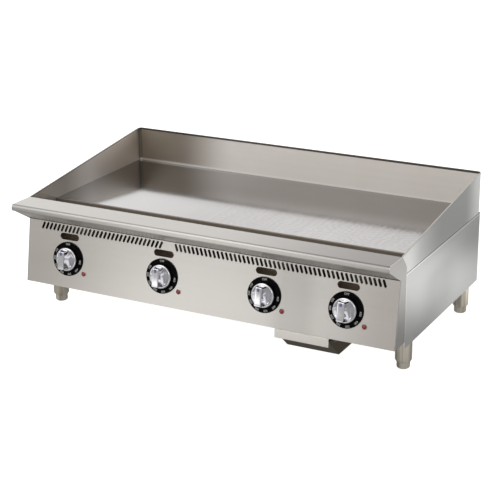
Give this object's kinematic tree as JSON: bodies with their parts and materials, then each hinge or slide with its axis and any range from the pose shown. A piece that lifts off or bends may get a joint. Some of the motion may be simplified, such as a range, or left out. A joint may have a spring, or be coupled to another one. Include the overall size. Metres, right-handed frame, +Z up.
{
  "type": "countertop griddle",
  "caption": "Wide countertop gas griddle with tapered splash guard, rounded front ledge over a grease trough, dial controls, grease drawer and screw-in feet.",
  "frame": {"origin": "middle of the bounding box's bottom face, on the surface the feet stand on", "axes": "+Z up, +X to the operator's right along the width, -Y towards the operator, +Y to the back"},
  "size_m": [1.219, 0.758, 0.436],
  "materials": {
    "griddle_steel": "ground and polished",
    "stainless_splash": "satin",
    "stainless_nose": "satin",
    "stainless_panel": "satin",
    "stainless_side": "satin",
    "stainless_dull": "satin",
    "galvanised_steel": "matt",
    "dark_steel": "satin",
    "aluminised_steel": "matt",
    "probe_metal": "satin",
    "black_pipe": "satin",
    "valve_metal": "cast",
    "thermostat_metal": "cast",
    "dial_black": "gloss",
    "chrome": "polished",
    "shaft_steel": "turned",
    "red_lens": "gloss",
    "nickel": "satin",
    "fastener_steel": "zinc plated",
    "black_plastic": "matt"
  },
  "bodies": {
    "cabinet": {"griddle_plate": "griddle_steel", "splash_guard": "stainless_splash", "bullnose": "stainless_nose", "left_end_plate": "stainless_nose", "right_end_plate": "stainless_nose", "control_panel": "stainless_panel", "left_side_panel": "stainless_side", "right_side_panel": "stainless_side", "grease_trough": "stainless_dull", "grease_chute": "stainless_dull", "back_panel": "galvanised_steel", "bottom_pan": "galvanised_steel", "burner_box_front": "galvanised_steel", "left_plate_rail": "galvanised_steel", "right_plate_rail": "galvanised_steel", "burner_rest_bar": "galvanised_steel", "left_drawer_rail": "galvanised_steel", "right_drawer_rail": "galvanised_steel", "burner_1": "aluminised_steel", "burner_2": "aluminised_steel", "burner_3": "aluminised_steel", "burner_4": "aluminised_steel", "pilot_burners": "aluminised_steel", "sensing_bulbs": "probe_metal", "gas_manifold": "black_pipe", "gas_supply_pipe": "black_pipe", "gas_valves": "valve_metal", "thermostat_1": "thermostat_metal", "thermostat_2": "thermostat_metal", "thermostat_3": "thermostat_metal", "thermostat_4": "thermostat_metal", "bezel_1": "dial_black", "bezel_2": "dial_black", "bezel_3": "dial_black", "bezel_4": "dial_black", "indicator_light_1": "red_lens", "indicator_light_2": "red_lens", "indicator_light_3": "red_lens", "indicator_light_4": "red_lens", "leg_front_left": "nickel", "leg_front_right": "nickel", "leg_rear_left": "nickel", "leg_rear_right": "nickel", "leg_nuts": "fastener_steel", "back_panel_screws": "fastener_steel", "power_inlet": "black_plastic"},
    "knob_assembly_1": {"knob_1": "chrome", "knob_shaft_1": "shaft_steel"},
    "knob_assembly_2": {"knob_2": "chrome", "knob_shaft_2": "shaft_steel"},
    "knob_assembly_3": {"knob_3": "chrome", "knob_shaft_3": "shaft_steel"},
    "knob_assembly_4": {"knob_4": "chrome", "knob_shaft_4": "shaft_steel"},
    "grease_drawer": {"drawer_pan": "dark_steel", "drawer_front": "stainless_dull"},
    "foot_screw_front_left": {"foot_front_left": "nickel"},
    "foot_screw_front_right": {"foot_front_right": "nickel"},
    "foot_screw_rear_left": {"foot_rear_left": "nickel"},
    "foot_screw_rear_right": {"foot_rear_right": "nickel"}
  },
  "joints": [
    {"name": "knob_1_turn", "type": "hinge", "parent": "cabinet", "child": "knob_assembly_1", "pos_m": [-0.4615, -0.32007, 0.19642], "axis": [0, -0.9864, 0.1644], "range_deg": [0, 265]},
    {"name": "knob_2_turn", "type": "hinge", "parent": "cabinet", "child": "knob_assembly_2", "pos_m": [-0.1305, -0.32007, 0.19642], "axis": [0, -0.9864, 0.1644], "range_deg": [0, 265]},
    {"name": "knob_3_turn", "type": "hinge", "parent": "cabinet", "child": "knob_assembly_3", "pos_m": [0.2055, -0.32007, 0.19642], "axis": [0, -0.9864, 0.1644], "range_deg": [0, 265]},
    {"name": "knob_4_turn", "type": "hinge", "parent": "cabinet", "child": "knob_assembly_4", "pos_m": [0.4575, -0.32007, 0.19642], "axis": [0, -0.9864, 0.1644], "range_deg": [0, 265]},
    {"name": "grease_drawer_slide", "type": "slide", "parent": "cabinet", "child": "grease_drawer", "axis": [0, -1, 0], "range_m": [0, 0.3]},
    {"name": "foot_front_left_adjust", "type": "slide", "parent": "cabinet", "child": "foot_screw_front_left", "axis": [0, 0, -1], "range_m": [0, 0.025]},
    {"name": "foot_front_right_adjust", "type": "slide", "parent": "cabinet", "child": "foot_screw_front_right", "axis": [0, 0, -1], "range_m": [0, 0.025]},
    {"name": "foot_rear_left_adjust", "type": "slide", "parent": "cabinet", "child": "foot_screw_rear_left", "axis": [0, 0, -1], "range_m": [0, 0.025]},
    {"name": "foot_rear_right_adjust", "type": "slide", "parent": "cabinet", "child": "foot_screw_rear_right", "axis": [0, 0, -1], "range_m": [0, 0.025]}
  ]
}
